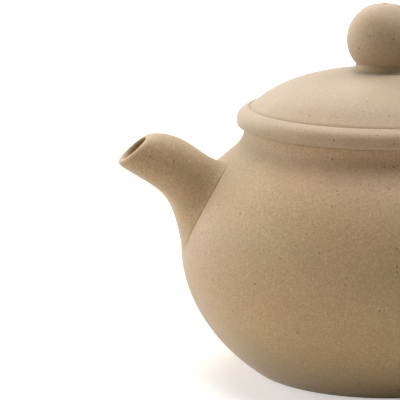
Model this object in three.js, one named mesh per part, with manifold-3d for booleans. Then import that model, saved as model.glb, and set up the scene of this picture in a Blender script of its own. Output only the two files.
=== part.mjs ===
// A small round teapot of unglazed clay, with a domed lid that covers the mouth and carries a ball knob.
// Millimetres, +Z up. The origin is the middle of the flat base, on the table.
// The spout points along -X and the handle along +X.

import Module from "manifold-3d";
import * as THREE from "three";
import { mergeVertices } from "three/addons/utils/BufferGeometryUtils.js";

const wasm = await Module();
wasm.setup();

// Clearances
const JOINT_GAP = 0.3; // where a piece follows the curved face that it is stuck to
const LID_SEAT_GAP = 0.3; // between the neck and the lid
const FLANGE_CLEARANCE = 0.3; // around the flange, inside the mouth

// Pot body
const BODY_RADIUS = 50;
const BELLY_HEIGHT = 31; // where the body is widest
const FOOT_RADIUS = 31.6; // where the wall meets the table
const LOWER_ARC_DEPTH = 61; // half width of the oval that the lower body follows
const SHOULDER_RADIUS = 39; // where the shoulder meets the neck
const SHOULDER_RISE = 22.2; // from the belly up to there
const SEAM_RISE = 18; // from the belly up to the shoulder ring
const WALL = 3;
const FOOT_ROUNDING = 0.6;
const FOOT_WIDTH = 3.6; // rim of the wall around the base disc
const BASE_THICKNESS = 3.4;

// Neck
const NECK_STEP = 4.6; // from the shoulder's edge in to the neck's upright face
const NECK_HEIGHT = 7.5;
const NECK_STRAIGHT = 1.1; // upright stretch under the lid
const NECK_LOWER_PULL = 2.7; // how long the hollow follows the shoulder, then the upright face
const NECK_UPPER_PULL = 3.2;
const NECK_INNER_PULL = 4.4; // the same at both ends, inside
const NECK_WALL = 3.4;
const MOUTH_BEVEL = 0.6;

// Lid rim, with its bead
const BEAD_OVERHANG = 1.8; // past the neck
const BEAD_WIDTH = 3.2; // from the groove to the widest line
const BEAD_HEIGHT = 4.7;
const BEAD_WIDEST = 1.2; // height of the widest line above the bead's underside
const BEAD_UNDER_PULL = 1.7;
const BEAD_LOWER_PULL = 0.9;
const BEAD_UPPER_PULL = 1.8;
const BEAD_CROWN_PULL = 0.7;
const GROOVE_SIDE = 0.6; // from the groove to the bead's crown
const GROOVE_DEPTH = 0.4;
const SEAT_PLATE = 2.6; // flat ring that carries the dome

// Lid flange
const FLANGE_WALL = 3.1;
const FLANGE_DEPTH = 7.5;
const FLANGE_BEVEL = 0.8;

// Lid dome: a flattened arc that flares out a little before it meets the groove
const DOME_SPREAD = 2.6; // the arc's half width past the groove
const DOME_RISE = 17.4;
const DOME_FULLNESS = 2.2; // 2 is a plain oval, more is squarer
const DOME_EDGE_LIFT = 0.2; // above the bead's crown
const DOME_FLARE = 0.8;
const DOME_FLARE_WIDTH = 2.7;
const DOME_WALL = 3;

// Knob
const COLLAR_RADIUS = 8.4;
const COLLAR_NARROWING = 1.4;
const COLLAR_HEIGHT = 1.7;
const COLLAR_EDGE = 0.3;
const KNOB_RADIUS = 9.3;
const KNOB_HALF_HEIGHT = 9.1;
const KNOB_TOP_FLAT = 0.35; // how much of the ball's top is pressed flat
const VENT_RADIUS = 0.8;

// Spout
const SPOUT_REACH = 16.8; // past the belly, before the lip is rounded
const SPOUT_LIP_DROP = 0.3; // below the neck's top, so that a full pot doesn't spill
const SPOUT_MOUTH_LENGTH = 10.7; // before the lip is rounded
const SPOUT_MOUTH_LEAN = 50; // degrees that the mouth leans back towards the pot
const SPOUT_ROOT_SINK = 0.4; // how far its outline starts inside the body
const SPOUT_TOP_DROP = 0.7; // where its outline starts, below the shoulder's edge
const SPOUT_UNDER_DROP = 1.6; // and below the belly line
const SPOUT_TOP_ROOT_ANGLE = -3.5; // degrees from level, going outwards
const SPOUT_TOP_ROOT_PULL = 5.8;
const SPOUT_TOP_LIP_ANGLE = -6.5;
const SPOUT_TOP_LIP_PULL = 10.4;
const SPOUT_UNDER_ROOT_ANGLE = 78;
const SPOUT_UNDER_ROOT_PULL = 17.8;
const SPOUT_UNDER_LIP_ANGLE = 34.2;
const SPOUT_UNDER_LIP_PULL = 15.6;
const SPOUT_ROOT_HALF_WIDTH = 9.6;
const SPOUT_WAIST_HALF_WIDTH = 7.4;
const SPOUT_LIP_HALF_WIDTH = 4.6;
const SPOUT_ROOT_WALL = 3;
const SPOUT_LIP_WALL = 1.6;
const SPOUT_LIP_SHARE = 0.05; // of the outlines, that the lip's rounding takes

// Hole behind the spout, and the strainer over it
const SPOUT_HOLE_RADIUS = 6.2;
const SPOUT_HOLE_LIFT = 1.6; // above the middle of the spout's root
const STRAINER_MARGIN = 0.4; // around the hole
const STRAINER_WALL = 2;
const STRAINER_HOLE = 1;
const STRAINER_RINGS = [[1, 0], [6, 24], [12, 46]]; // holes in a ring, degrees off the axis

// Handle
const HANDLE_REACH = 26; // past the belly
const HANDLE_UPPER_DROP = 6.7; // root's middle below the shoulder's edge
const HANDLE_LOWER_DROP = 14; // root's middle below the belly line
const HANDLE_ELBOW_RISE = 7; // furthest point above the belly line
const HANDLE_UPPER_ANGLE = 38; // degrees from level, going outwards
const HANDLE_UPPER_PULL = 14;
const HANDLE_ELBOW_UPPER_PULL = 15;
const HANDLE_ELBOW_LOWER_PULL = 16;
const HANDLE_LOWER_ANGLE = 175;
const HANDLE_LOWER_PULL = 13;
const HANDLE_THICKNESS = 7.6; // at its upper end
const HANDLE_WIDTH = 9.4;
const HANDLE_TAIL_THICKNESS = 6.4; // at its lower end
const HANDLE_TAIL_WIDTH = 7.8;
const HANDLE_SWELL = 1.3; // how much thicker it gets, on each side, at the body
const HANDLE_SWELL_LENGTH = 6;

// Fineness
const TURN_STEPS = 48;
const KNOB_TURN_STEPS = 36;
const OUTER_STEPS = 7;
const DOME_STEPS = 10;
const INNER_STEPS = 4;
const TUBE_STEPS = 11;
const TUBE_SIDES = 18;
const LIP_STEPS = 3;
const BALL_SIDES = 16;
const DRILL_SIDES = 6;

// Places worked out from the sizes
const SHOULDER_HEIGHT = BELLY_HEIGHT + SHOULDER_RISE;
const SEAM_HEIGHT = BELLY_HEIGHT + SEAM_RISE;
const BASE_SEAT_RADIUS = FOOT_RADIUS - FOOT_WIDTH;
const NECK_RADIUS = SHOULDER_RADIUS - NECK_STEP;
const NECK_TOP = SHOULDER_HEIGHT + NECK_HEIGHT;
const MOUTH_RADIUS = NECK_RADIUS - NECK_WALL;
const BEAD_RADIUS = NECK_RADIUS + BEAD_OVERHANG;
const BEAD_BASE = NECK_TOP + LID_SEAT_GAP;
const BEAD_CROWN = BEAD_BASE + BEAD_HEIGHT;
const GROOVE_RADIUS = BEAD_RADIUS - BEAD_WIDTH;
const PLATE_TOP = BEAD_BASE + SEAT_PLATE;
const FLANGE_RADIUS = MOUTH_RADIUS - FLANGE_CLEARANCE;
const LID_BORE = FLANGE_RADIUS - FLANGE_WALL;
const COLLAR_BASE = domeHeight(COLLAR_RADIUS);
const COLLAR_TOP = COLLAR_BASE + COLLAR_HEIGHT;
const COLLAR_NECK = COLLAR_RADIUS - COLLAR_NARROWING;

function mix(a, b, t) {
  return a + (b - a) * t;
}

// Values of a function of 0 to 1, from one end to the other
function sweep(steps, at) {
  return Array.from({ length: steps + 1 }, (_, i) => at(i / steps));
}

// Curve between two ends in a plane of [across, up] points. Each end has a place, the direction in which the
// curve passes it, in degrees from level, and a pull, which holds the curve to that direction for longer
function bend(start, end) {
  const guide = ({ at, angle, pull }) => {
    const turn = THREE.MathUtils.degToRad(angle);
    return new THREE.Vector2(at[0] + pull * Math.cos(turn), at[1] + pull * Math.sin(turn));
  };
  return new THREE.CubicBezierCurve(
    new THREE.Vector2(...start.at),
    guide(start),
    guide({ ...end, pull: -end.pull }),
    new THREE.Vector2(...end.at),
  );
}

function bendPoints(start, end, steps) {
  return bend(start, end).getPoints(steps).map(({ x, y }) => [x, y]);
}

// Turned piece from a closed outline of [radius, height] points, listed anticlockwise
function turned(outline, steps = TURN_STEPS) {
  const closed = [...outline, outline[0]].map(([r, z]) => new THREE.Vector2(r, z));
  return new THREE.LatheGeometry(closed, steps).rotateX(Math.PI / 2);
}

// Oval ring of points from a half height in the XZ plane and a half width along Y
function ovalRing(middle, halfHeight, halfWidth) {
  return Array.from({ length: TUBE_SIDES }, (_, j) => {
    const angle = (2 * Math.PI * j) / TUBE_SIDES;
    const at = middle.clone().addScaledVector(halfHeight, Math.cos(angle));
    return new THREE.Vector3(at.x, halfWidth * Math.sin(angle), at.y);
  });
}

// Skin through rings of points. A hollow one joins its last ring to its first, and others get flat ends
function lofted(rings, hollow = false) {
  const sides = rings[0].length;
  const corner = (ring, side) => (ring % rings.length) * sides + (side % sides);
  const faces = [];
  for (let i = 0; i < rings.length - (hollow ? 0 : 1); i++) {
    for (let j = 0; j < sides; j++) {
      faces.push(corner(i, j), corner(i, j + 1), corner(i + 1, j + 1));
      faces.push(corner(i, j), corner(i + 1, j + 1), corner(i + 1, j));
    }
  }
  const last = rings.length - 1;
  for (let j = 1; !hollow && j + 1 < sides; j++) {
    faces.push(corner(0, 0), corner(0, j + 1), corner(0, j));
    faces.push(corner(last, 0), corner(last, j), corner(last, j + 1));
  }
  const geometry = new THREE.BufferGeometry().setFromPoints(rings.flat());
  geometry.setIndex(faces);
  return geometry;
}

// Turns and moves a geometry so that its own upright axis points a way from a point
function placedAlong(geometry, point, way) {
  const turn = new THREE.Quaternion().setFromUnitVectors(new THREE.Vector3(0, 1, 0), way);
  return geometry.applyQuaternion(turn).translate(point.x, point.y, point.z);
}

function solidOf(geometry) {
  const bare = geometry.clone();
  bare.deleteAttribute("normal");
  bare.deleteAttribute("uv");
  const merged = mergeVertices(bare);
  return new wasm.Manifold(
    new wasm.Mesh({
      numProp: 3,
      vertProperties: new Float32Array(merged.attributes.position.array),
      triVerts: new Uint32Array(merged.index.array),
    }),
  );
}

function geometryOf(solid) {
  const mesh = solid.getMesh();
  const geometry = new THREE.BufferGeometry();
  geometry.setAttribute("position", new THREE.BufferAttribute(mesh.vertProperties, 3));
  geometry.setIndex(new THREE.BufferAttribute(mesh.triVerts, 1));
  return geometry;
}

// The upper body follows a circle that stands upright at the belly and passes through the shoulder's edge
function upperArc() {
  const run = BODY_RADIUS - SHOULDER_RADIUS;
  const radius = (run ** 2 + SHOULDER_RISE ** 2) / (2 * run);
  return { depth: radius, height: radius };
}

// The lower body follows an oval that stands upright at the belly and passes through the foot
function lowerArc() {
  const cosine = 1 - (BODY_RADIUS - FOOT_RADIUS) / LOWER_ARC_DEPTH;
  return { depth: LOWER_ARC_DEPTH, height: BELLY_HEIGHT / Math.sqrt(1 - cosine ** 2) };
}

// The body's outer face at a height: a point [radius, height], and the way straight out of it
function outerFace(z) {
  const { depth, height } = z >= BELLY_HEIGHT ? upperArc() : lowerArc();
  const sine = (z - BELLY_HEIGHT) / height;
  const cosine = Math.sqrt(1 - sine ** 2);
  const point = new THREE.Vector2(BODY_RADIUS - depth + depth * cosine, z);
  const out = new THREE.Vector2(cosine / depth, sine / height).normalize();
  return { point, out };
}

// Points along the body between two heights of its outer face, moved outwards by an offset
function bodyPoints(from, to, offset, steps) {
  return sweep(steps, (t) => {
    const { point, out } = outerFace(mix(from, to, t));
    return point.addScaledVector(out, offset).toArray();
  });
}

// Point of the wall's inner face, straight behind a height of its outer face
function innerFace(z) {
  const { point, out } = outerFace(z);
  return point.addScaledVector(out, -WALL).toArray();
}

// Points up the inside of the pot, from beside the base to behind a height, moved inwards by an inset
function innerPoints(top, inset = 0) {
  const lower = bodyPoints(BASE_THICKNESS, BELLY_HEIGHT, -WALL - inset, INNER_STEPS);
  const upper = bodyPoints(BELLY_HEIGHT, top, -WALL - inset, INNER_STEPS);
  return [...lower, ...upper.slice(1)];
}

// Direction in which the shoulder runs up into the neck, in degrees from level
function shoulderAngle() {
  const { out } = outerFace(SHOULDER_HEIGHT);
  return 90 + THREE.MathUtils.radToDeg(out.angle());
}

// The neck's hollow: it leaves the shoulder in the shoulder's own direction and ends upright
function neckPoints() {
  return bendPoints(
    { at: [SHOULDER_RADIUS, SHOULDER_HEIGHT], angle: shoulderAngle(), pull: NECK_LOWER_PULL },
    { at: [NECK_RADIUS, NECK_TOP - NECK_STRAIGHT], angle: 90, pull: NECK_UPPER_PULL },
    OUTER_STEPS,
  );
}

// The pot's whole outer form, grown by a joint's gap, which cuts what is stuck onto it
function potPlug() {
  const side = [
    ...bodyPoints(FOOT_ROUNDING, BELLY_HEIGHT, JOINT_GAP, 2 * OUTER_STEPS),
    ...bodyPoints(BELLY_HEIGHT, SHOULDER_HEIGHT, JOINT_GAP, 2 * OUTER_STEPS).slice(1),
    ...neckPoints().map(([r, z]) => [r + JOINT_GAP, z]),
  ];
  return solidOf(turned([[0, side[0][1]], ...side, [0, side.at(-1)[1]]]));
}

// The pot's inside, shrunk by a joint's gap, which trims the strainer to the wall
function chamberPlug() {
  const side = innerPoints(SHOULDER_HEIGHT, JOINT_GAP);
  return solidOf(turned([[0, side[0][1]], ...side, [0, side.at(-1)[1]]]));
}

// Where the hole behind the spout goes through the wall: a point on the outer face and the way out
function spoutHoleAxis() {
  const { top, under } = spoutOutline();
  const z = (top.v0.y + under.v0.y) / 2 + SPOUT_HOLE_LIFT;
  const { point, out } = outerFace(z);
  return { point: new THREE.Vector3(-point.x, 0, z), way: new THREE.Vector3(-out.x, 0, out.y) };
}

function withSpoutHole(geometry) {
  const { point, way } = spoutHoleAxis();
  const drill = new THREE.CylinderGeometry(SPOUT_HOLE_RADIUS, SPOUT_HOLE_RADIUS, 6 * WALL, TUBE_SIDES);
  return geometryOf(solidOf(geometry).subtract(solidOf(placedAlong(drill, point, way))));
}

function bodyWall() {
  return withSpoutHole(
    turned([
      [BASE_SEAT_RADIUS, 0],
      [FOOT_RADIUS - FOOT_ROUNDING, 0],
      ...bodyPoints(FOOT_ROUNDING, BELLY_HEIGHT, 0, OUTER_STEPS),
      ...bodyPoints(BELLY_HEIGHT, SEAM_HEIGHT, 0, OUTER_STEPS).slice(1),
      ...innerPoints(SEAM_HEIGHT).reverse(),
      [BASE_SEAT_RADIUS, BASE_THICKNESS],
    ]),
  );
}

// What is left of the disc that closes the body's top, once the mouth is cut out of it.
// Both its edges are cut square to the wall
function shoulderRing() {
  return withSpoutHole(
    turned([
      ...bodyPoints(SEAM_HEIGHT, SHOULDER_HEIGHT, 0, INNER_STEPS),
      ...bodyPoints(SHOULDER_HEIGHT, SEAM_HEIGHT, -WALL, INNER_STEPS),
    ]),
  );
}

function baseDisc() {
  const radius = BASE_SEAT_RADIUS - JOINT_GAP;
  return turned([[0, 0], [radius, 0], [radius, BASE_THICKNESS], [0, BASE_THICKNESS]]);
}

function neckRing() {
  const downwards = shoulderAngle() - 180;
  return turned([
    ...neckPoints(),
    [NECK_RADIUS, NECK_TOP],
    [MOUTH_RADIUS + MOUTH_BEVEL, NECK_TOP],
    [MOUTH_RADIUS, NECK_TOP - MOUTH_BEVEL],
    ...bendPoints(
      { at: [MOUTH_RADIUS, NECK_TOP - NECK_STRAIGHT], angle: -90, pull: NECK_INNER_PULL },
      { at: innerFace(SHOULDER_HEIGHT), angle: downwards, pull: NECK_INNER_PULL },
      INNER_STEPS,
    ),
  ]);
}

// The spout's upper and lower outline, as distance from the pot's axis and height
function spoutOutline() {
  const lean = THREE.MathUtils.degToRad(SPOUT_MOUTH_LEAN);
  const lipReach = BODY_RADIUS + SPOUT_REACH;
  const lipTop = NECK_TOP - SPOUT_LIP_DROP;
  const top = bend(
    {
      at: [SHOULDER_RADIUS - SPOUT_ROOT_SINK, SHOULDER_HEIGHT - SPOUT_TOP_DROP],
      angle: SPOUT_TOP_ROOT_ANGLE,
      pull: SPOUT_TOP_ROOT_PULL,
    },
    {
      at: [lipReach - SPOUT_MOUTH_LENGTH * Math.sin(lean), lipTop],
      angle: SPOUT_TOP_LIP_ANGLE,
      pull: SPOUT_TOP_LIP_PULL,
    },
  );
  const under = bend(
    {
      at: [BODY_RADIUS - SPOUT_ROOT_SINK, BELLY_HEIGHT - SPOUT_UNDER_DROP],
      angle: SPOUT_UNDER_ROOT_ANGLE,
      pull: SPOUT_UNDER_ROOT_PULL,
    },
    {
      at: [lipReach, lipTop - SPOUT_MOUTH_LENGTH * Math.cos(lean)],
      angle: SPOUT_UNDER_LIP_ANGLE,
      pull: SPOUT_UNDER_LIP_PULL,
    },
  );
  return { top, under };
}

// The tapered, bent tube: rings run out along its skin, round the lip and back down its bore.
// Round the lip, with s from 0 to 1, they come forward by 3s(1 - s) of its share, and the wall
// grows by s * s * (3 - 2s)
function spout() {
  const { top, under } = spoutOutline();
  const halfWidths = new THREE.CubicBezierCurve(
    new THREE.Vector2(0, SPOUT_ROOT_HALF_WIDTH),
    new THREE.Vector2(1 / 3, SPOUT_WAIST_HALF_WIDTH),
    new THREE.Vector2(2 / 3, SPOUT_WAIST_HALF_WIDTH),
    new THREE.Vector2(1, SPOUT_LIP_HALF_WIDTH),
  );
  const ring = (t, wall) => {
    const high = top.getPoint(t);
    const low = under.getPoint(t);
    const middle = new THREE.Vector2(-(high.x + low.x) / 2, (high.y + low.y) / 2);
    const half = new THREE.Vector2(low.x - high.x, high.y - low.y).multiplyScalar(0.5);
    half.setLength(half.length() - wall);
    return ovalRing(middle, half, halfWidths.getPoint(t).y - wall);
  };
  const end = 1 - SPOUT_LIP_SHARE;
  const skin = sweep(TUBE_STEPS, (t) => ring(end * t, 0));
  const lip = sweep(LIP_STEPS, (s) =>
    ring(end + SPOUT_LIP_SHARE * 3 * s * (1 - s), SPOUT_LIP_WALL * s * s * (3 - 2 * s)),
  );
  const bore = sweep(TUBE_STEPS, (t) => ring(end * (1 - t), mix(SPOUT_LIP_WALL, SPOUT_ROOT_WALL, t)));
  const tube = lofted([...skin, ...lip.slice(1, -1), ...bore], true);
  return geometryOf(solidOf(tube).subtract(potPlug()));
}

// A perforated half ball over the hole in the wall, stuck to the inside
function strainer() {
  const { point, way } = spoutHoleAxis();
  const seat = point.clone().addScaledVector(way, -WALL);
  const innerRadius = SPOUT_HOLE_RADIUS + STRAINER_MARGIN;
  const outerRadius = innerRadius + STRAINER_WALL;
  const ball = (radius) =>
    solidOf(placedAlong(new THREE.SphereGeometry(radius, BALL_SIDES, BALL_SIDES / 2), seat, way));
  let shell = ball(outerRadius).subtract(ball(innerRadius)).intersect(chamberPlug());
  const across = new THREE.Vector3(0, 1, 0);
  for (const [count, tilt] of STRAINER_RINGS) {
    for (let i = 0; i < count; i++) {
      const aim = way.clone().negate().applyAxisAngle(across, THREE.MathUtils.degToRad(tilt));
      aim.applyAxisAngle(way, (2 * Math.PI * i) / count);
      const hole = new THREE.CylinderGeometry(STRAINER_HOLE, STRAINER_HOLE, 2 * STRAINER_WALL, DRILL_SIDES);
      const middle = seat.clone().addScaledVector(aim, (innerRadius + outerRadius) / 2);
      shell = shell.subtract(solidOf(placedAlong(hole, middle, aim)));
    }
  }
  return geometryOf(shell);
}

// The handle's middle line is an ear: up out of the shoulder, round, and back into the lower body.
// Both ends start at the wall's inner face, and the plug cuts them at the outer one
function handlePath() {
  const elbow = [BODY_RADIUS + HANDLE_REACH - HANDLE_THICKNESS / 2, BELLY_HEIGHT + HANDLE_ELBOW_RISE];
  const path = new THREE.CurvePath();
  path.add(
    bend(
      {
        at: innerFace(SHOULDER_HEIGHT - HANDLE_UPPER_DROP),
        angle: HANDLE_UPPER_ANGLE,
        pull: HANDLE_UPPER_PULL,
      },
      { at: elbow, angle: -90, pull: HANDLE_ELBOW_UPPER_PULL },
    ),
  );
  path.add(
    bend(
      { at: elbow, angle: -90, pull: HANDLE_ELBOW_LOWER_PULL },
      {
        at: innerFace(BELLY_HEIGHT - HANDLE_LOWER_DROP),
        angle: HANDLE_LOWER_ANGLE,
        pull: HANDLE_LOWER_PULL,
      },
    ),
  );
  return path;
}

function handle() {
  const path = handlePath();
  const length = path.getLength();
  const rings = sweep(2 * TUBE_STEPS, (t) => {
    const fromEnd = Math.min(t, 1 - t) * length;
    const swell = 2 * HANDLE_SWELL * Math.exp(-fromEnd / HANDLE_SWELL_LENGTH);
    const thickness = mix(HANDLE_THICKNESS, HANDLE_TAIL_THICKNESS, t) + swell;
    const width = mix(HANDLE_WIDTH, HANDLE_TAIL_WIDTH, t) + swell;
    const along = path.getTangentAt(t);
    const half = new THREE.Vector2(along.y, -along.x).setLength(thickness / 2);
    return ovalRing(path.getPointAt(t), half, width / 2);
  });
  return geometryOf(solidOf(lofted(rings)).subtract(potPlug()));
}

// Flat ring that covers the mouth, with the rounded bead on its edge
function lidRim() {
  const widest = [BEAD_RADIUS, BEAD_BASE + BEAD_WIDEST];
  return turned([
    [LID_BORE, BEAD_BASE],
    ...bendPoints(
      { at: [NECK_RADIUS, BEAD_BASE], angle: 0, pull: BEAD_UNDER_PULL },
      { at: widest, angle: 90, pull: BEAD_LOWER_PULL },
      INNER_STEPS,
    ),
    ...bendPoints(
      { at: widest, angle: 90, pull: BEAD_UPPER_PULL },
      { at: [GROOVE_RADIUS + GROOVE_SIDE, BEAD_CROWN], angle: 180, pull: BEAD_CROWN_PULL },
      OUTER_STEPS,
    ).slice(1),
    [GROOVE_RADIUS, BEAD_CROWN - GROOVE_DEPTH],
    [GROOVE_RADIUS, PLATE_TOP],
    [LID_BORE, PLATE_TOP],
  ]);
}

// Ring under the lid that keeps it centred in the mouth
function lidFlange() {
  const foot = BEAD_BASE - FLANGE_DEPTH;
  return turned([
    [LID_BORE, foot],
    [FLANGE_RADIUS - FLANGE_BEVEL, foot],
    [FLANGE_RADIUS, foot + FLANGE_BEVEL],
    [FLANGE_RADIUS, BEAD_BASE],
    [LID_BORE, BEAD_BASE],
  ]);
}

// Height of the dome's outer face at a radius
function domeHeight(radius) {
  const reach = GROOVE_RADIUS + DOME_SPREAD;
  const arc = (r) => DOME_RISE * (1 - (r / reach) ** DOME_FULLNESS) ** (1 / DOME_FULLNESS);
  const flare = (r) => DOME_FLARE * Math.max(0, 1 - (GROOVE_RADIUS - r) / DOME_FLARE_WIDTH) ** 2;
  const rise = (r) => arc(r) + flare(r);
  return BEAD_CROWN + DOME_EDGE_LIFT + rise(radius) - rise(GROOVE_RADIUS);
}

// Domed sheet of the lid, level inside under the knob
function lidDome() {
  const edge = GROOVE_RADIUS - JOINT_GAP;
  const innerEdge = edge - DOME_WALL;
  const outer = sweep(DOME_STEPS, (t) => {
    const radius = mix(edge, COLLAR_RADIUS, t);
    return [radius, domeHeight(radius)];
  });
  const inner = sweep(INNER_STEPS, (t) => {
    const radius = mix(COLLAR_RADIUS, innerEdge, t);
    return [radius, domeHeight(radius) - DOME_WALL];
  });
  return turned([
    [edge, PLATE_TOP],
    ...outer,
    [VENT_RADIUS, COLLAR_BASE],
    [VENT_RADIUS, COLLAR_BASE - DOME_WALL],
    ...inner,
    [innerEdge, PLATE_TOP],
  ]);
}

function knobCollar() {
  const hollow = bendPoints(
    { at: [COLLAR_RADIUS, COLLAR_BASE + COLLAR_EDGE], angle: 180, pull: COLLAR_NARROWING / 2 },
    { at: [COLLAR_NECK, COLLAR_TOP], angle: 90, pull: COLLAR_HEIGHT / 2 },
    INNER_STEPS,
  );
  return turned(
    [[VENT_RADIUS, COLLAR_BASE], [COLLAR_RADIUS, COLLAR_BASE], ...hollow, [VENT_RADIUS, COLLAR_TOP]],
    KNOB_TURN_STEPS,
  );
}

// A ball that is cut flat where it meets the collar, with the vent hole down its middle
function knob() {
  const foot = -Math.acos(COLLAR_NECK / KNOB_RADIUS);
  const ventEdge = Math.acos(VENT_RADIUS / KNOB_RADIUS);
  const middle = COLLAR_TOP - KNOB_HALF_HEIGHT * Math.sin(foot);
  const top = middle + KNOB_HALF_HEIGHT - KNOB_TOP_FLAT;
  const ball = sweep(2 * OUTER_STEPS, (t) => {
    const angle = mix(foot, ventEdge, t);
    return [KNOB_RADIUS * Math.cos(angle), Math.min(middle + KNOB_HALF_HEIGHT * Math.sin(angle), top)];
  });
  return turned([[VENT_RADIUS, COLLAR_TOP], ...ball], KNOB_TURN_STEPS);
}

function clay(color) {
  return new THREE.MeshStandardMaterial({ color, roughness: 0.85, metalness: 0 });
}

const pieces = {
  body_wall: [bodyWall(), 0xb49e7e],
  shoulder_ring: [shoulderRing(), 0xb8a282],
  base_disc: [baseDisc(), 0xa89272],
  neck_ring: [neckRing(), 0xb09a7a],
  spout: [spout(), 0xb29c7c],
  strainer: [strainer(), 0xa89272],
  handle: [handle(), 0xb39d7d],
  lid_dome: [lidDome(), 0xc0aa8a],
  lid_rim: [lidRim(), 0xbca686],
  lid_flange: [lidFlange(), 0xb09a7a],
  knob_collar: [knobCollar(), 0xb8a282],
  knob: [knob(), 0xbea888],
};

const teapot = new THREE.Group();
for (const [name, [geometry, color]] of Object.entries(pieces)) {
  const mesh = new THREE.Mesh(geometry, clay(color));
  mesh.name = name;
  teapot.add(mesh);
}

export default teapot;
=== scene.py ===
"""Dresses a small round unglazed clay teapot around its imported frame.

Lengths in the classes are millimetres, in the frame's axes: +Z up, the spout along -X, the
origin in the middle of the base on the table. Meshes are written in metres. The angles of
bends are degrees, 0 outwards and 90 upwards.
"""

import logging
import math
from dataclasses import dataclass
from enum import Enum

import bpy
import numpy as np
from bpy.types import ID, Material, Node, NodeSocket, NodeTree, Object, World
from mathutils import Matrix, Vector


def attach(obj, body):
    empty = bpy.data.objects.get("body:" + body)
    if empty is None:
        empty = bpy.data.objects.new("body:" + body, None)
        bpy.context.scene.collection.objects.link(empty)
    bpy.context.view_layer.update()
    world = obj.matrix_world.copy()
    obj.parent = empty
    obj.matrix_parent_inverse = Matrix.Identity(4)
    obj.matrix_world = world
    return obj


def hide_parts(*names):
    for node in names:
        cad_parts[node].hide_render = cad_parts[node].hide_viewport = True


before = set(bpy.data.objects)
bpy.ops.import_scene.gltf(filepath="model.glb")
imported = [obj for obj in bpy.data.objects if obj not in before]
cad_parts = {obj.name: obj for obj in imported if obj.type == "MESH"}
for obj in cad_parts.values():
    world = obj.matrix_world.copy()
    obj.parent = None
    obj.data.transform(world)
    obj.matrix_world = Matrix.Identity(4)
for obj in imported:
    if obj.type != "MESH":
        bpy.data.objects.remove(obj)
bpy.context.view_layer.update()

MM = 0.001
TURN_STEPS = 256
PLACE_DIGITS = 6
WHITE = (1.0, 1.0, 1.0, 1.0)
# The ways a bend can run past its end, in degrees
OUT, UP, IN, DOWN = 0.0, 90.0, 180.0, -90.0
log = logging.getLogger("teapot")


def linear(hex_colour: str) -> tuple[float, float, float, float]:
    """Turns an sRGB hex colour into linear light.

    Args:
        hex_colour: six hex digits, red first.

    Returns:
        Linear red, green, blue and an alpha of 1.
    """
    levels = [int(hex_colour[i : i + 2], 16) / 255 for i in (0, 2, 4)]
    curve = [c / 12.92 if c <= 0.04045 else ((c + 0.055) / 1.055) ** 2.4 for c in levels]
    return (*curve, 1.0)


def spread(count: int) -> np.ndarray:
    """Evenly spaced values from 0 to 1, both ends included."""
    return np.linspace(0.0, 1.0, count)


def around(count: int) -> np.ndarray:
    """Angles of evenly spaced points round a ring, the first at 0."""
    return np.arange(count) * (2 * math.pi / count)


@dataclass(frozen=True)
class End:
    """An end of a bend: its place, the way the curve passes it, and how long it holds that way."""

    at: tuple[float, float]
    angle: float
    pull: float

    def guide(self, side: int) -> np.ndarray:
        """The point a pull along the end's direction: ahead of it (1) or behind it (-1)."""
        turn = math.radians(self.angle)
        return np.array(self.at) + side * self.pull * np.array([math.cos(turn), math.sin(turn)])


def bend(start: End, end: End, t: np.ndarray) -> np.ndarray:
    """A cubic curve between two ends, with one guide ahead of the first and one behind the last.

    Args:
        start: where the curve begins.
        end: where it stops.
        t: places from 0 to 1, of any shape.

    Returns:
        Points, of the shape of t with a last axis of 2.
    """
    u, v = 1 - t[..., None], t[..., None]
    near, far = start.guide(1), end.guide(-1)
    return u**3 * start.at + 3 * u * u * v * near + 3 * u * v * v * far + v**3 * end.at


def grid_quads(rows: int, columns: int, close_rows: bool) -> np.ndarray:
    """Lists the quads of a grid of points, numbered row by row, whose rows are rings.

    Args:
        rows: how many rings the grid has.
        columns: how many points a ring has.
        close_rows: whether the last ring joins the first.

    Returns:
        An array of shape (m, 4).
    """
    i = np.arange(rows if close_rows else rows - 1)[:, None]
    j = np.arange(columns)[None, :]
    i_next, j_next = (i + 1) % rows, (j + 1) % columns
    row, row_next = i * columns, i_next * columns
    corners = (row + j, row + j_next, row_next + j_next, row_next + j)
    return np.stack(np.broadcast_arrays(*corners), -1).reshape(-1, 4)


def linked(name: str, data: ID) -> Object:
    """Makes an object in the scene's collection.

    Args:
        name: the object's name.
        data: its mesh, lamp or camera.

    Returns:
        The object.
    """
    made = bpy.data.objects.new(name, data)
    bpy.context.scene.collection.objects.link(made)
    return made


def mesh_object(name: str, points: np.ndarray, quads: np.ndarray) -> Object:
    """Makes a smooth-shaded mesh whose faces point outwards.

    Points at one place become one point, so that a ring without width is a pole. A quad with
    two corners there becomes a triangle. The skin is turned round if the volume inside it,
    the sum of the wedges between its faces and the origin, comes out negative.

    Args:
        name: the object's name.
        points: places in millimetres, shape (n, 3).
        quads: point numbers, shape (m, 4).

    Returns:
        The new object, linked to the scene.
    """
    places, number = np.unique(points.round(PLACE_DIGITS), axis=0, return_inverse=True)
    faces = number.reshape(-1)[quads]
    repeated = faces == np.roll(faces, -1, axis=1)
    whole = faces[repeated.sum(1) == 0]
    pinched = repeated.sum(1) == 1
    wedges = faces[pinched][~repeated[pinched]].reshape(-1, 3)
    corners = places[np.concatenate([whole[:, :3], whole[:, [0, 2, 3]], wedges])]
    volume = np.einsum("ij,ij->i", corners[:, 0], np.cross(corners[:, 1], corners[:, 2])).sum()
    if volume < 0:
        whole, wedges = whole[:, ::-1], wedges[:, ::-1]
    mesh = bpy.data.meshes.new(name)
    mesh.from_pydata((places * MM).tolist(), [], whole.tolist() + wedges.tolist())
    mesh.polygons.foreach_set("use_smooth", np.ones(len(mesh.polygons), bool))
    mesh.update()
    return linked(name, mesh)


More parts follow.
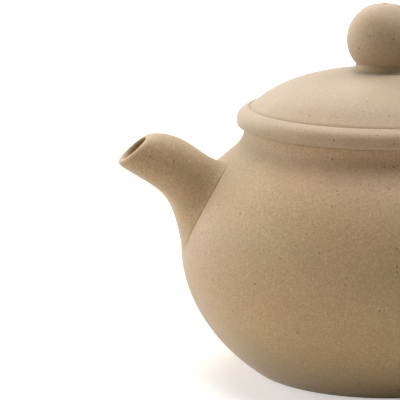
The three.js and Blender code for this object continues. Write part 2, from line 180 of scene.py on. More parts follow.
def turned(name: str, outline: np.ndarray) -> Object:
    """Turns a closed outline about Z: point (r, z) at angle a goes to (r cos a, r sin a, z).

    Args:
        name: the object's name.
        outline: radius and height pairs, shape (n, 2), joined end to start.

    Returns:
        The turned piece.
    """
    angle = around(TURN_STEPS)
    r, z = outline[:, 0][:, None], outline[:, 1][:, None]
    points = np.stack([r * np.cos(angle), r * np.sin(angle), z + 0 * angle], -1)
    return mesh_object(name, points.reshape(-1, 3), grid_quads(len(outline), TURN_STEPS, True))


def softened(outline: list, radii: list[float], steps: int = 7) -> np.ndarray:
    """Rounds the corners of a closed outline.

    Each corner is replaced by a quadratic curve that starts and ends its radius away along
    the two sides and pulls towards the corner.

    Args:
        outline: radius and height pairs.
        radii: the rounding of each corner, 0 for a point that is kept.
        steps: points on each rounding.

    Returns:
        The rounded outline, shape (n, 2).
    """
    corners = np.array(outline, float)
    t = spread(steps)[:, None]
    made = []
    for i, (corner, radius) in enumerate(zip(corners, radii)):
        before, after = corners[i - 1] - corner, corners[(i + 1) % len(corners)] - corner
        start = corner + before / np.linalg.norm(before) * radius
        end = corner + after / np.linalg.norm(after) * radius
        curve = (1 - t) ** 2 * start + 2 * t * (1 - t) * corner + t * t * end
        made.append(curve if radius > 0 else corner[None])
    return np.concatenate(made)


def blank_tree(owner: Material | World) -> NodeTree:
    """Gives a material or a world an empty node tree.

    Args:
        owner: the material or world.

    Returns:
        Its tree.
    """
    owner.use_nodes = True
    owner.node_tree.nodes.clear()
    return owner.node_tree


def node(
    tree: NodeTree, kind: str, settings: dict | None = None, inputs: dict | None = None
) -> Node:
    """Adds a node with its settings and links.

    Args:
        tree: the node tree.
        kind: the node's type name.
        settings: properties to set on the node.
        inputs: input name or number to a value or an output socket.

    Returns:
        The new node.
    """
    made = tree.nodes.new(kind)
    for name, value in (settings or {}).items():
        setattr(made, name, value)
    for name, value in (inputs or {}).items():
        if isinstance(value, NodeSocket):
            tree.links.new(value, made.inputs[name])
        else:
            made.inputs[name].default_value = value
    return made


class Tone(Enum):
    """Which of two copies of the same clay a piece shows: the body's, or the lid's, whose colours
    are a shade greyer as painted light for its lit top.
    """

    BODY = "body_clay"
    LID = "lid_clay"


@dataclass(frozen=True)
class Cloud:
    """Soft uneven tone: its size, its detail, and the noise levels where it starts and is full."""

    size_mm: float
    detail: float
    start: float
    full: float
    strength: float = 1.0
    roughness: float = 0.55

    def add(
        self, tree: NodeTree, place: NodeSocket, part: float = 1.0
    ) -> tuple[NodeSocket, NodeSocket]:
        """Adds the cloud to a material.

        The mask is the noise, spread from 0 at the level where it starts to its strength at
        the level where it is full.

        Args:
            tree: the material's node tree.
            place: the Object coordinates.
            part: what the strength is multiplied by.

        Returns:
            The noise and the mask.
        """
        pattern = {"Vector": place, "Scale": 1 / (self.size_mm * MM)}
        pattern |= {"Detail": self.detail, "Roughness": self.roughness}
        noise = node(tree, "ShaderNodeTexNoise", inputs=pattern).outputs["Fac"]
        levels = {"Value": noise, "From Min": self.start, "From Max": self.full}
        levels["To Max"] = self.strength * part
        return noise, node(tree, "ShaderNodeMapRange", inputs=levels).outputs["Result"]


@dataclass(frozen=True)
class Dots:
    """Small round dots: a share of the cells of a size each hold one.

    They fade out at the share and the radius, and are whole below full_share of the one and
    core of the other.
    """

    cell_mm: float
    share: float
    radius: float
    strength: float
    full_share: float = 0.6
    core: float = 0.45

    def add(self, tree: NodeTree, place: NodeSocket, part: float = 1.0) -> NodeSocket:
        """Adds the dots to a material.

        The mask is the product of how surely a cell holds a dot, from its random colour, and
        how near a point lies to the dot's middle.

        Args:
            tree: the material's node tree.
            place: the Object coordinates.
            part: what the strength is multiplied by.

        Returns:
            The mask.
        """
        pattern = {"Vector": place, "Scale": 1 / (self.cell_mm * MM)}
        cells = node(tree, "ShaderNodeTexVoronoi", inputs=pattern).outputs
        lot = node(tree, "ShaderNodeSeparateColor", inputs={"Color": cells["Color"]}).outputs[0]
        limits = (
            (lot, self.share, self.share * self.full_share, self.strength * part),
            (cells["Distance"], self.radius, self.radius * self.core, 1.0),
        )
        masks = {}
        for i, (value, none, whole, top) in enumerate(limits):
            levels = {"Value": value, "From Min": none, "From Max": whole, "To Max": top}
            masks[i] = node(tree, "ShaderNodeMapRange", inputs=levels).outputs["Result"]
        return node(tree, "ShaderNodeMath", {"operation": "MULTIPLY"}, masks).outputs[0]


@dataclass(frozen=True)
class ClayFinish:
    """Fine sandy stoneware clay, unglazed, scraped and lightly burnished before firing.

    It gives the eye a matte skin with a faint silk on grazing faces, a fine sandy grain,
    scattered brown iron specks and pale sand grains, a soft uneven tone, and a yellower
    tone towards the foot. The strengths of the grain, the dust and the sand are parts of
    the contrast.
    """

    name: str
    base: str
    warm: str
    shade: str
    speck: str = "5E4A35"
    sand: str = "D8C8AE"
    ochre: str = "B99B66"
    ochre_mm: float = 32.0
    contrast: float = 0.55
    drift: Cloud = Cloud(30.0, 1.0, 0.35, 0.65)
    mottle: Cloud = Cloud(14.0, 3.0, 0.7, 0.3, 0.3)
    # The clay's sand is 0.1 to 0.3 mm across. It is drawn coarser than that, so that it shows
    grain: Cloud = Cloud(0.5, 2.0, 0.65, 0.35)
    dust: Dots = Dots(0.8, 0.7, 0.33, 1.4)
    sand_grains: Dots = Dots(0.9, 0.5, 0.3, 0.5)
    specks: Dots = Dots(1.9, 0.22, 0.17, 0.8)
    relief: float = 0.3
    relief_mm: float = 0.04
    roughness: float = 0.6
    ior: float = 1.5
    specular: float = 0.35
    sheen: float = 0.4
    sheen_roughness: float = 0.5

    def material(self) -> Material:
        """Builds the node material on Object coordinates.

        Each layer mixes its colour into the ones before it by its mask. The yellower tone
        grows evenly from a height down to the table.

        Returns:
            The material.
        """
        made = bpy.data.materials.new(self.name)
        tree = blank_tree(made)
        place = node(tree, "ShaderNodeTexCoord").outputs["Object"]
        grain, grain_mask = self.grain.add(tree, place, self.contrast)
        height = node(tree, "ShaderNodeSeparateXYZ", inputs={"Vector": place}).outputs["Z"]
        levels = {"Value": height, "From Min": self.ochre_mm * MM, "From Max": 0.0}
        low = node(tree, "ShaderNodeMapRange", inputs=levels)
        pits = self.specks.add(tree, place)
        layers = (
            (self.drift.add(tree, place)[1], self.warm),
            (low.outputs["Result"], self.ochre),
            (self.mottle.add(tree, place)[1], self.shade),
            (grain_mask, self.shade),
            (self.dust.add(tree, place, self.contrast), self.shade),
            (self.sand_grains.add(tree, place, self.contrast), self.sand),
            (pits, self.speck),
        )
        colour = linear(self.base)
        for mask, tint in layers:
            inputs = {0: mask, 6: colour, 7: linear(tint)}
            colour = node(tree, "ShaderNodeMix", {"data_type": "RGBA"}, inputs).outputs[2]
        relief = node(tree, "ShaderNodeMath", {"operation": "SUBTRACT"}, {0: grain, 1: pits})
        inputs = {"Height": relief.outputs[0], "Strength": self.relief}
        inputs["Distance"] = self.relief_mm * MM
        bump = node(tree, "ShaderNodeBump", inputs=inputs)
        shader = node(
            tree,
            "ShaderNodeBsdfPrincipled",
            inputs={
                "Base Color": colour,
                "Roughness": self.roughness,
                "IOR": self.ior,
                "Specular IOR Level": self.specular,
                "Sheen Weight": self.sheen,
                "Sheen Roughness": self.sheen_roughness,
                "Normal": bump.outputs["Normal"],
            },
        )
        node(tree, "ShaderNodeOutputMaterial", inputs={"Surface": shader.outputs["BSDF"]})
        return made


# Both are one clay. The lid's copy is a shade greyer, painted light for its lit top, and its grain
# is evener
FINISHES = {
    Tone.BODY: ClayFinish("unglazed body clay", "B49B72", "B99974", "8F7650"),
    Tone.LID: ClayFinish("unglazed lid clay with painted light", "AC9674", "B09575", "89714F", contrast=0.35),
}


@dataclass
class Dresser:
    """Gives finished pieces their clay, ties them to their body, and hides the frame's nodes that
    they stand for.
    """

    materials: dict[Tone, Material]

    def dress(self, piece: Object, body: str, tone: Tone, *nodes: str) -> None:
        """Finishes a piece.

        Args:
            piece: the finished mesh.
            body: the body that it rides on.
            tone: which clay it is made of.
            nodes: the frame's nodes that it stands for.
        """
        piece.data.materials.append(self.materials[tone])
        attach(piece, body)
        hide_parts(*nodes)
        log.info("%s: %d faces on %s", piece.name, len(piece.data.polygons), body)

    def dress_node(self, name: str, tone: Tone) -> None:
        """Gives a node of the frame that stays in view its clay.

        Args:
            name: the node.
            tone: which clay it is made of.
        """
        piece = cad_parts[name]
        piece.data.materials.clear()
        piece.data.materials.append(self.materials[tone])


@dataclass
class PotBody:
    """The wall, shoulder and neck of the pot as one burnished skin, and the base disc."""

    radius: float = 50.0
    belly: float = 31.0
    foot_radius: float = 31.6
    lower_depth: float = 61.0
    shoulder_radius: float = 39.0
    shoulder: float = 53.2
    wall: float = 3.0
    foot_rounding: float = 0.6
    base_radius: float = 28.0
    base_thickness: float = 3.4
    base_gap: float = 0.3
    neck_radius: float = 34.4
    neck_top: float = 60.9
    neck_straight: float = 0.7
    neck_angle: float = 128.0
    lower_pull: float = 1.2
    upper_pull: float = 3.8
    inner_pull: float = 4.4
    mouth_radius: float = 31.0
    mouth_bevel: float = 0.6
    lip_rounding: float = 0.25
    foot_angle: float = 35.0
    base_rounding: float = 0.3
    seat: float = 0.4
    foot_steps: int = 6
    outer_steps: int = 110
    neck_steps: int = 26
    throat_steps: int = 14
    inner_steps: int = 40

    def arcs(self, z: np.ndarray) -> tuple[np.ndarray, np.ndarray]:
        """Half width and half height of the curve that the skin follows at heights z.

        Above the belly it is a circle through the shoulder's edge, and below it an oval
        through the foot. Both stand upright at the belly line.

        Args:
            z: heights.

        Returns:
            The half widths and half heights.
        """
        run, rise = self.radius - self.shoulder_radius, self.shoulder - self.belly
        circle = (run * run + rise * rise) / (2 * run)
        cosine = 1 - (self.radius - self.foot_radius) / self.lower_depth
        lower_height = self.belly / math.sqrt(1 - cosine * cosine)
        upper = z >= self.belly
        return np.where(upper, circle, self.lower_depth), np.where(upper, circle, lower_height)

    def face(self, z: np.ndarray, offset: float = 0.0) -> np.ndarray:
        """Points of the outside at heights z, moved straight out by an offset.

        Args:
            z: heights of the outer face.
            offset: how far out.

        Returns:
            Radius and height pairs, shape (n, 2).
        """
        depth, height = self.arcs(z)
        sine = (z - self.belly) / height
        cosine = np.sqrt(1 - sine**2)
        out = np.stack([cosine / depth, sine / height], -1)
        out /= np.linalg.norm(out, axis=-1, keepdims=True)
        return np.stack([self.radius - depth + depth * cosine, z], -1) + out * offset

    def outside(self, points: np.ndarray) -> np.ndarray:
        """About how far points lie outside the skin.

        With u and v the place within the curve in half widths and half heights, it is the
        length of (u, v) less 1, divided by how fast that grows outwards.

        Args:
            points: places, with a last axis of 3.

        Returns:
            Distances, negative inside.
        """
        depth, height = self.arcs(points[..., 2])
        u = (np.hypot(points[..., 0], points[..., 1]) - self.radius + depth) / depth
        v = (points[..., 2] - self.belly) / height
        level = np.hypot(u, v)
        return (level - 1) * level / np.hypot(u / depth, v / height)

    def shoulder_angle(self) -> float:
        """The way the shoulder runs at its top edge: square to the way out of the wall.

        Returns:
            Degrees from level.
        """
        edge = np.array([self.shoulder])
        out = (self.face(edge, 1.0) - self.face(edge))[0]
        return 90 + math.degrees(math.atan2(out[1], out[0]))

    def skin(self) -> Object:
        """The wall, shoulder and neck, closed round the mouth and down the inside.

        The outline follows the wall's own curve outside, and the same moved in by the wall's
        thickness inside. The foot's edge, the neck and the throat are cubic bends. The neck
        leaves the shoulder steeper than the shoulder runs, in a slight crease.

        Returns:
            The turned piece.
        """
        foot, neck_base = self.foot_rounding, self.neck_top - self.neck_straight
        outer = self.face(foot + (self.shoulder - foot) * spread(self.outer_steps))
        under = End((self.foot_radius - foot, 0.0), OUT, foot)
        edge = bend(under, End(tuple(outer[0]), self.foot_angle, foot), spread(self.foot_steps))
        shoulder = End((self.shoulder_radius, self.shoulder), self.neck_angle, self.lower_pull)
        top = End((self.neck_radius, neck_base), UP, self.upper_pull)
        neck = bend(shoulder, top, spread(self.neck_steps))
        depth = (self.base_thickness - self.shoulder) * spread(self.inner_steps)
        inner = self.face(self.shoulder + depth, -self.wall)
        mouth = End((self.mouth_radius, neck_base), DOWN, self.inner_pull)
        under_shoulder = End(tuple(inner[0]), self.shoulder_angle() - 180, self.inner_pull)
        throat = bend(mouth, under_shoulder, spread(self.throat_steps))
        floor = [[self.base_radius, self.base_thickness], [self.base_radius, 0.0]]
        outline = [edge[:-1], outer, neck[1:], self.rounded_lip(), throat, inner[1:], floor]
        return turned("pot_skin_clay", np.concatenate(outline))

    def rounded_lip(self) -> np.ndarray:
        """The neck's top: a small outer rounding and an inner bevel with soft edges.

        Returns:
            Radius and height pairs, shape (n, 2).
        """
        soft, bevel = self.lip_rounding, self.mouth_bevel
        corners = [
            (self.neck_radius, self.neck_top - 2 * soft),
            (self.neck_radius, self.neck_top),
            (self.mouth_radius + bevel, self.neck_top),
            (self.mouth_radius, self.neck_top - bevel),
            (self.mouth_radius, self.neck_top - 2 * bevel),
        ]
        return softened(corners, [0, soft, soft / 2, soft / 2, 0])[1:-1]

    def base(self) -> Object:
        """The flat disc that closes the bottom: a rectangle with rounded edges, turned.

        Returns:
            The turned piece.
        """
        r, top = self.base_radius - self.base_gap, self.base_thickness
        radii = [0, self.base_rounding, self.base_rounding, 0]
        return turned("base_disc_clay", softened([(0, 0), (r, 0), (r, top), (0, top)], radii))

    def build(self, dresser: Dresser) -> None:
        """Makes and dresses both pieces."""
        dresser.dress(self.skin(), "pot", Tone.BODY, "body_wall", "shoulder_ring", "neck_ring")
        dresser.dress(self.base(), "pot", Tone.BODY, "base_disc")


@dataclass
class Spout:
    """The tapered spout with one bend, lofted between its upper and lower outline."""

    body: PotBody
    top_root: End = End((38.6, 52.5), -3.5, 5.8)
    top_lip: End = End((58.6, 60.4), -6.5, 10.4)
    under_root: End = End((49.3, 30.6), 74.8, 17.9)
    under_lip: End = End((66.9, 53.6), 34.2, 15.8)
    root_width: float = 8.8
    waist_width: float = 7.4
    lip_width: float = 4.6
    root_wall: float = 3.0
    lip_wall: float = 1.8
    lip_under: float = 0.2
    lip_share: float = 0.05
    swell: float = 0.9
    swell_length: float = 1.5
    sides: int = 96
    rows: int = 90
    search_steps: int = 600
    lip_steps: int = 16

    def rings(self, t: np.ndarray, wall: np.ndarray) -> np.ndarray:
        """Points of oval rings between the outlines.

        At angle a, a point lies cos a times the half height from the ring's middle and sin a
        times the half width to the side. The half width blends the root's, the waist's and
        the lip's by (1 - t) ** 3, 3 * t * (1 - t) and t ** 3, which add up to 1.

        Args:
            t: places along the spout, 0 at the root and 1 at the lip, shape (rows, sides).
            wall: how far inside the skin each point lies, of the same shape.

        Returns:
            An array of shape (rows, sides, 3).
        """
        mirror = np.array([-1.0, 1.0])
        high = bend(self.top_root, self.top_lip, t) * mirror
        low = bend(self.under_root, self.under_lip, t) * mirror
        half = (high - low) / 2
        length = np.linalg.norm(half, axis=-1, keepdims=True)
        up = half / length
        angle = around(self.sides)
        cosine, sine = np.cos(angle), np.sin(angle)
        waist = 3 * t * (1 - t)
        width = (1 - t) ** 3 * self.root_width + waist * self.waist_width + t**3 * self.lip_width
        across = (high + low) / 2 + up * (length - wall[..., None]) * cosine[:, None]
        return np.stack([across[..., 0], (width - wall) * sine, across[..., 1]], -1)

    def smoothed(self, points: np.ndarray) -> np.ndarray:
        """The skin with the slip that was smoothed round its root.

        Points move out from their ring's middle by a swell that fades as e to the minus
        distance from the pot's wall over a length.

        Args:
            points: the skin, shape (rows, sides, 3).

        Returns:
            The moved points.
        """
        away = np.maximum(0, self.body.outside(points))[..., None]
        out = points - points.mean(1, keepdims=True)
        out /= np.linalg.norm(out, axis=-1, keepdims=True)
        return points + out * self.swell * np.exp(-away / self.swell_length)

    def from_wall(self, thick: float, depth: float) -> np.ndarray:
        """Places of the tube's points, row by row, from just inside the pot's wall to the lip.

        Each side starts at the last of a fine row of places that lies deep enough in the
        wall, and its rows are evenly spaced from there.

        Args:
            thick: how far inside the skin the tube's root lies.
            depth: how deep in the wall the root starts.

        Returns:
            An array of shape (rows, sides).
        """
        t = np.repeat(spread(self.search_steps)[:, None], self.sides, 1)
        wall = thick + (min(thick, self.lip_wall) - thick) * t
        buried = self.body.outside(self.rings(t, wall)) < -depth
        last = len(t) - 1 - np.argmax(buried[::-1], axis=0)
        start = np.where(buried.any(0), t[last, np.arange(self.sides)], 0.0)
        return start + (1 - self.lip_share - start) * spread(self.rows)[:, None]

    def tube(self) -> Object:
        """The skin, a rounded lip and the bore, as one closed tube that is open at both ends.

        Across the lip, with s from 0 to 1, the wall grows as s * s * (3 - 2 * s), and the
        rings come within 1 / 4 of the lip's share of the end of the outlines. The wall is
        thicker towards the lip's underside.

        Returns:
            The lofted piece.
        """
        skin = self.from_wall(0.0, self.body.seat + self.swell)
        bore = self.from_wall(self.root_wall, self.body.seat)[::-1]
        s = np.repeat(spread(self.lip_steps)[1:-1, None], self.sides, 1)
        lip = 1 - self.lip_share * (1 - 3 * s * (1 - s))
        lower = (1 - np.cos(around(self.sides))) / 2
        lip_wall = self.lip_wall + self.lip_under * lower
        bore_wall = lip_wall + (self.root_wall - lip_wall) * (1 - bore)
        outside = self.smoothed(self.rings(skin, np.zeros_like(skin)))
        rounding = self.rings(lip, lip_wall * s * s * (3 - 2 * s))
        rings = np.concatenate([outside, rounding, self.rings(bore, bore_wall)])
        quads = grid_quads(len(rings), self.sides, True)
        return mesh_object("spout_clay", rings.reshape(-1, 3), quads)

    def build(self, dresser: Dresser) -> None:
        """Makes and dresses the tube."""
        dresser.dress(self.tube(), "pot", Tone.BODY, "spout")


@dataclass
class Handle:
    """The ear-shaped handle: a roll of clay that swells where it meets the pot."""

    body: PotBody
    upper_root: float = 46.5
    lower_root: float = 17.0
    elbow: tuple[float, float] = (72.2, 38.0)
    upper_angle: float = 38.0
    upper_pull: float = 14.0
    elbow_upper_pull: float = 15.0
    elbow_lower_pull: float = 16.0
    lower_angle: float = 175.0
    lower_pull: float = 13.0
    thickness: float = 7.6
    width: float = 9.4
    tail_thickness: float = 6.4
    tail_width: float = 7.8
    swell: float = 1.3
    swell_length: float = 6.0
    sides: int = 72
    rows: int = 150
    path_steps: int = 500
    search_steps: int = 900

    def path(self) -> tuple[np.ndarray, np.ndarray]:
        """The middle line: two bends that meet upright at the elbow.

        Returns:
            Points in the XZ plane, and each point's distance along the line.
        """
        roots = self.body.face(np.array([self.upper_root, self.lower_root]), -self.body.wall)
        t = spread(self.path_steps)
        upper = bend(
            End(tuple(roots[0]), self.upper_angle, self.upper_pull),
            End(self.elbow, DOWN, self.elbow_upper_pull),
            t,
        )
        lower = bend(
            End(self.elbow, DOWN, self.elbow_lower_pull),
            End(tuple(roots[1]), self.lower_angle, self.lower_pull),
            t,
        )
        line = np.concatenate([upper, lower[1:]])
        step = np.linalg.norm(np.diff(line, axis=0), axis=-1)
        return line, np.concatenate([[0.0], np.cumsum(step)])

    def rings(self, t: np.ndarray) -> np.ndarray:
        """Points of oval rings square to the middle line.

        At angle a, a point lies cos a times the half thickness from the line in its plane
        and sin a times the half width to the side. Both grow at the ends by a swell that
        fades with the distance from the root.

        Args:
            t: places along the line, 0 at the upper root and 1 at the lower, (rows, sides).

        Returns:
            An array of shape (rows, sides, 3).
        """
        line, run = self.path()
        way = np.gradient(line, run, axis=0)
        way /= np.linalg.norm(way, axis=-1, keepdims=True)
        along = t * run[-1]
        x, z, way_x, way_z = (np.interp(along, run, value) for value in (*line.T, *way.T))
        grown = 2 * self.swell * np.exp(-np.minimum(along, run[-1] - along) / self.swell_length)
        half = (self.thickness + (self.tail_thickness - self.thickness) * t + grown) / 2
        side = (self.width + (self.tail_width - self.width) * t + grown) / 2
        angle = around(self.sides)
        off = half * np.cos(angle)
        return np.stack([x + way_z * off, side * np.sin(angle), z - way_x * off], -1)

    def roll(self) -> Object:
        """The roll, from just inside the pot's wall to just inside it again.

        Of a fine row of places, each side starts at the last buried one of the upper half
        and ends at the first buried one of the lower half. Each end is closed by a ring
        without width in its middle.

        Returns:
            The bent piece.
        """
        t = np.repeat(spread(self.search_steps)[:, None], self.sides, 1)
        buried = self.body.outside(self.rings(t)) < -self.body.seat
        upper, lower = np.array_split(buried, 2)
        start = t[len(upper) - 1 - np.argmax(upper[::-1], axis=0), 0]
        end = t[len(upper) + np.argmax(lower, axis=0), 0]
        rings = self.rings(start + (end - start) * spread(self.rows)[:, None])
        first, last = (np.repeat(rings[i].mean(0)[None, None], self.sides, 1) for i in (0, -1))
        closed = np.concatenate([first, rings, last])
        quads = grid_quads(len(closed), self.sides, False)
        return mesh_object("handle_clay", closed.reshape(-1, 3), quads)

    def build(self, dresser: Dresser) -> None:
        """Makes and dresses the roll."""
        dresser.dress(self.roll(), "pot", Tone.BODY, "handle")


@dataclass
class Lid:
    """The domed lid with its bead, flange, collar and knob."""

    seat: float = 61.0
    neck_radius: float = 34.4
    bead_radius: float = 36.3
    bead_widest: float = 1.6
    bead_height: float = 4.7
    under_pull: float = 1.9
    lower_pull: float = 1.1
    upper_pull: float = 1.4
    crown_pull: float = 2.2
    crown_angle: float = 156.0
    groove_radius: float = 33.0
    groove_side: float = 0.6
    groove_depth: float = 0.16
    groove_angle: float = 170.0
    groove_pull: float = 0.1
    plate: float = 2.6
    bore: float = 27.6
    flange_radius: float = 30.7
    flange_depth: float = 7.5
    flange_roundings: tuple[float, float] = (0.7, 0.9)
    dome_edge: float = 32.7
    dome_spread: float = 3.73
    dome_rise: float = 19.77
    dome_fullness: float = 2.26
    edge_lift: float = 0.04
    flare: float = 0.45
    flare_width: float = 2.7
    drop: float = 0.2
    drop_width: float = 0.8
    dome_wall: float = 3.0
    collar_radius: float = 8.0
    collar_neck: float = 7.0
    collar_height: float = 1.7
    collar_edge: float = 0.1
    knob_radius: float = 9.3
    knob_half: float = 9.1
    knob_flat: float = 0.35
    knob_soft: float = 0.3
    vent: float = 0.8
    lower_steps: int = 14
    upper_steps: int = 30
    groove_steps: int = 7
    rise_steps: int = 5
    outer_steps: int = 90
    inner_steps: int = 40
    collar_steps: int = 18
    knob_steps: int = 120

    def dome(self, r: np.ndarray) -> np.ndarray:
        """Heights of the dome's outside at radii r.

        It is a superellipse plus a flare, less a drop at the very edge. Both grow with the
        square of the distance into the last stretch before the groove.

        Args:
            r: radii.

        Returns:
            The heights.
        """
        reach = self.groove_radius + self.dome_spread

        def near(radius: np.ndarray, width: float) -> np.ndarray:
            """0 up to a width from the groove, growing to 1 at the groove."""
            return np.maximum(0, 1 - (self.groove_radius - radius) / width) ** 2

        def rise(radius: np.ndarray) -> np.ndarray:
            """Superellipse and flare, from any level."""
            arc = (1 - (radius / reach) ** self.dome_fullness) ** (1 / self.dome_fullness)
            return self.dome_rise * arc + self.flare * near(radius, self.flare_width)

        crown = self.seat + self.bead_height
        height = crown + self.edge_lift + rise(r) - rise(np.array(self.groove_radius))
        return height - self.drop * near(r, self.drop_width)

    def shell(self) -> Object:
        """The plate with its bead and the dome on it, joined by a soft groove.

        The bead and the groove are cubic bends, and the dome's inside is its outside moved
        down by the wall's thickness.

        Returns:
            The turned piece.
        """
        crown = (self.groove_radius + self.groove_side, self.seat + self.bead_height)
        widest = (self.bead_radius, self.seat + self.bead_widest)
        under = End((self.neck_radius, self.seat), OUT, self.under_pull)
        lower = bend(under, End(widest, UP, self.lower_pull), spread(self.lower_steps))
        onto_crown = End(crown, self.crown_angle, self.crown_pull)
        upper = bend(End(widest, UP, self.upper_pull), onto_crown, spread(self.upper_steps))
        r = self.dome_edge + (self.collar_radius - self.dome_edge) * spread(self.outer_steps)
        outer = np.stack([r, self.dome(r)], -1)
        slope = math.degrees(math.atan2(outer[1, 1] - outer[0, 1], outer[1, 0] - outer[0, 0]))
        bottom = (self.groove_radius, crown[1] - self.groove_depth)
        reach = self.groove_side / 2
        off_crown = End(crown, self.crown_angle, reach)
        into_bottom = End(bottom, self.groove_angle, reach / 2)
        groove = bend(off_crown, into_bottom, spread(self.groove_steps))[1:]
        off_bottom = End(bottom, self.groove_angle, self.groove_pull)
        onto_dome = End(tuple(outer[0]), slope, self.groove_pull)
        rise = bend(off_bottom, onto_dome, spread(self.rise_steps))[1:-1]
        inner_edge = self.dome_edge - self.dome_wall
        r = self.collar_radius + (inner_edge - self.collar_radius) * spread(self.inner_steps)
        inner = np.stack([r, self.dome(r) - self.dome_wall], -1)
        hole_top, plate_top = self.collar_base(), self.seat + self.plate
        hole = [[self.vent, hole_top], [self.vent, hole_top - self.dome_wall]]
        step = [[inner_edge, plate_top], [self.bore, plate_top], [self.bore, self.seat]]
        parts = [lower, upper[1:], groove, rise, outer, hole, inner, step]
        return turned("lid_shell_clay", np.concatenate(parts))

    def flange(self) -> Object:
        """The ring that centres the lid in the mouth: a rectangle, round at its foot, turned.

        Returns:
            The turned piece.
        """
        foot = self.seat - self.flange_depth
        corners = [
            (self.bore, foot),
            (self.flange_radius, foot),
            (self.flange_radius, self.seat),
            (self.bore, self.seat),
        ]
        return turned("lid_flange_clay", softened(corners, [*self.flange_roundings, 0, 0]))

    def collar_base(self) -> float:
        """Height at which the collar stands on the dome."""
        return float(self.dome(np.array(self.collar_radius)))

    def collar(self) -> Object:
        """The collar under the knob: one hollow cubic bend up from the dome, turned.

        Returns:
            The turned piece.
        """
        base = self.collar_base()
        top = base + self.collar_height
        pull = (self.collar_radius - self.collar_neck) / 2
        edge = End((self.collar_radius, base + self.collar_edge), IN, pull)
        neck = End((self.collar_neck, top), UP, self.collar_height / 2)
        hollow = bend(edge, neck, spread(self.collar_steps))
        foot = [[self.vent, base], [self.collar_radius, base]]
        return turned("knob_collar_clay", np.concatenate([foot, hollow, [[self.vent, top]]]))

    def knob(self) -> Object:
        """The ball: an oval, pressed a little flat on top, with the vent hole through it.

        Its height is capped softly: top less s times the log of 1 plus e to the overshoot
        over s, with s the knob's softness.

        Returns:
            The turned piece.
        """
        base = self.collar_base() + self.collar_height
        cut = -math.acos(self.collar_neck / self.knob_radius)
        middle = base - self.knob_half * math.sin(cut)
        top = middle + self.knob_half - self.knob_flat
        angle = cut + (math.acos(self.vent / self.knob_radius) - cut) * spread(self.knob_steps)
        height = middle + self.knob_half * np.sin(angle)
        height = top - self.knob_soft * np.log1p(np.exp((top - height) / self.knob_soft))
        ball = np.stack([self.knob_radius * np.cos(angle), height - height[0] + base], -1)
        return turned("knob_clay", np.concatenate([[[self.vent, base]], ball]))

    def build(self, dresser: Dresser) -> None:
        """Makes and dresses the lid's pieces.

        Args:
            dresser: what gives them their clay.
        """
        dresser.dress(self.shell(), "lid", Tone.LID, "lid_dome", "lid_rim")
        dresser.dress(self.flange(), "lid", Tone.LID, "lid_flange")
        dresser.dress(self.collar(), "lid", Tone.LID, "knob_collar")
        dresser.dress(self.knob(), "lid", Tone.LID, "knob")


def seen_or_mirrored(tree: NodeTree) -> NodeSocket:
    """1 for rays from the camera, mirrored rays and rays through glass, else 0.

    It is the largest of the three levels.

    Args:
        tree: the table's or the world's node tree.

    Returns:
        The level.
    """
    rays = node(tree, "ShaderNodeLightPath").outputs
    level = rays["Is Camera Ray"]
    for kind in ("Is Glossy Ray", "Is Transmission Ray"):
        pair = {0: level, 1: rays[kind]}
        level = node(tree, "ShaderNodeMath", {"operation": "MAXIMUM"}, pair).outputs[0]
    return level


@dataclass(frozen=True)
class SoftBox:
    """A square white lamp that faces the pot. Azimuth 0 is behind it, and 90 at its right."""

    name: str
    azimuth_deg: float
    elevation_deg: float
    power: float


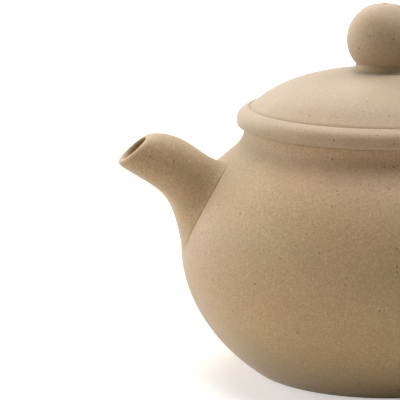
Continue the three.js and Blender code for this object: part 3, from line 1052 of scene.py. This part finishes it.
@dataclass
class Studio:
    """The table, the backdrop, the lamps and the camera at the photograph's angle.

    The camera's yaw and pitch are radians.
    """

    distance: float = 600.0
    height: float = 163.25
    azimuth_deg: float = -13.0
    yaw: float = -0.0755
    pitch: float = 0.1997
    focal_px: float = 2457.1
    image_px: float = 400.0
    sensor: float = 36.0
    clip: tuple[float, float] = (10.0, 20000.0)
    fill: float = 0.09
    room_level: float = 0.1
    room_facing: tuple[float, float] = (-0.7, 0.1)
    table_half: float = 3000.0
    table_colour: str = "E8E5E1"
    table_glow: float = 0.43
    shadow_reach: float = 150.0
    white_reach: float = 500.0
    aim: float = 45.0
    lamp_distance: float = 900.0
    lamp_size: float = 500.0
    lamps: tuple[SoftBox, ...] = (
        SoftBox("overhead", 0, 89, 5.2),
        SoftBox("behind and above", -13, 50, 4.2),
        SoftBox("left behind", -58, 15, 3.8),
        SoftBox("left", -103, 15, 2.45),
        SoftBox("right and above", 77, 50, 4.2),
    )

    def camera(self) -> None:
        """Puts the camera where the photograph was taken from."""
        data = bpy.data.cameras.new("camera")
        data.sensor_width = self.sensor
        data.lens = self.focal_px / self.image_px * self.sensor
        data.clip_start, data.clip_end = (reach * MM for reach in self.clip)
        level, drop = math.cos(self.pitch), -math.sin(self.pitch)
        look = Vector((math.sin(self.yaw) * level, math.cos(self.yaw) * level, drop))
        turn = Matrix.Rotation(math.radians(self.azimuth_deg), 3, "Z")
        camera = linked("camera", data)
        camera.location = turn @ Vector((0, -self.distance, self.height)) * MM
        camera.rotation_euler = (turn @ look).to_track_quat("-Z", "Y").to_euler()
        bpy.context.scene.camera = camera

    def table_finish(self) -> Material:
        """A pale matte table top that keeps the pot's shadow and looks white away from it.

        Close to the pot it glows only for the camera, and mirrored rays see it as it is lit
        there. The glow grows evenly with the distance from the pot to 1.

        Returns:
            The material.
        """
        made = bpy.data.materials.new("pale matte table")
        tree = blank_tree(made)
        inputs = {"Color": linear(self.table_colour)}
        diffuse = node(tree, "ShaderNodeBsdfDiffuse", inputs=inputs).outputs[0]
        place = node(tree, "ShaderNodeTexCoord").outputs["Object"]
        away = node(tree, "ShaderNodeVectorMath", {"operation": "LENGTH"}, {0: place})
        seen = node(tree, "ShaderNodeLightPath").outputs["Is Camera Ray"]
        pair = {0: seen, 1: self.table_glow}
        near = node(tree, "ShaderNodeMath", {"operation": "MULTIPLY"}, pair).outputs[0]
        reach = {"From Min": self.shadow_reach * MM, "From Max": self.white_reach * MM}
        levels = {"Value": away.outputs["Value"], **reach, "To Min": near, "To Max": 1.0}
        strength = node(tree, "ShaderNodeMapRange", inputs=levels).outputs["Result"]
        inputs = {"Color": WHITE, "Strength": strength}
        glow = node(tree, "ShaderNodeEmission", inputs=inputs).outputs[0]
        both = node(tree, "ShaderNodeAddShader", inputs={0: diffuse, 1: glow}).outputs[0]
        rays = {0: seen_or_mirrored(tree), 1: diffuse, 2: both}
        pick = node(tree, "ShaderNodeMixShader", inputs=rays)
        node(tree, "ShaderNodeOutputMaterial", inputs={"Surface": pick.outputs[0]})
        return made

    def table(self) -> None:
        """A wide table top."""
        h = self.table_half
        corners = np.array([[-h, -h, 0], [h, -h, 0], [h, h, 0], [-h, h, 0]])
        table = mesh_object("table", corners, np.array([[0, 1, 2, 3]]))
        table.data.materials.append(self.table_finish())

    def light(self, box: SoftBox) -> None:
        """Hangs a lamp and turns it to the pot.

        Args:
            box: which lamp.
        """
        data = bpy.data.lights.new(box.name, "AREA")
        data.energy = box.power
        data.size = self.lamp_size * MM
        lamp = linked(box.name, data)
        lamp.visible_camera = False
        azimuth, elevation = math.radians(box.azimuth_deg), math.radians(box.elevation_deg)
        level = math.cos(elevation)
        way = Vector((math.sin(azimuth) * level, math.cos(azimuth) * level, math.sin(elevation)))
        lamp.location = (way * self.lamp_distance + Vector((0, 0, self.aim))) * MM
        lamp.rotation_euler = (-way).to_track_quat("-Z", "Y").to_euler()

    def world(self) -> None:
        """White to the camera and in reflections, plain soft grey light to the pot.

        Reflections of the side that the camera stands on are darker, as in a room whose
        white backdrop hangs behind the pot. They follow the cosine between a ray's way and
        the way to the backdrop.
        """
        world = bpy.data.worlds.new("world")
        bpy.context.scene.world = world
        tree = blank_tree(world)
        way = node(tree, "ShaderNodeTexCoord").outputs["Generated"]
        azimuth = math.radians(self.azimuth_deg)
        pair = {0: way, 1: (-math.sin(azimuth), math.cos(azimuth), 0.0)}
        facing = node(tree, "ShaderNodeVectorMath", {"operation": "DOT_PRODUCT"}, pair)
        dark, bright = self.room_facing
        levels = {"From Min": dark, "From Max": bright, "To Min": self.room_level}
        levels["Value"] = facing.outputs["Value"]
        room = node(tree, "ShaderNodeMapRange", inputs=levels).outputs["Result"]
        seen = node(tree, "ShaderNodeLightPath").outputs["Is Camera Ray"]
        backdrop = node(tree, "ShaderNodeMath", {"operation": "MAXIMUM"}, {0: seen, 1: room})
        fill, white = (
            node(tree, "ShaderNodeBackground", inputs={"Color": WHITE, "Strength": strength})
            for strength in (self.fill, backdrop.outputs[0])
        )
        rays = {0: seen_or_mirrored(tree), 1: fill.outputs[0], 2: white.outputs[0]}
        pick = node(tree, "ShaderNodeMixShader", inputs=rays)
        node(tree, "ShaderNodeOutputWorld", inputs={"Surface": pick.outputs[0]})

    def build(self) -> None:
        """Makes everything around the pot."""
        self.camera()
        self.table()
        for box in self.lamps:
            self.light(box)
        self.world()
        bpy.context.scene.view_settings.view_transform = "Standard"


def main() -> None:
    """Builds the studio and the pot, piece by piece."""
    logging.basicConfig(level=logging.INFO)
    Studio().build()
    dresser = Dresser({tone: finish.material() for tone, finish in FINISHES.items()})
    body = PotBody()
    body.build(dresser)
    Spout(body).build(dresser)
    Handle(body).build(dresser)
    Lid().build(dresser)
    dresser.dress_node("strainer", Tone.BODY)


if __name__ == "__main__":
    main()
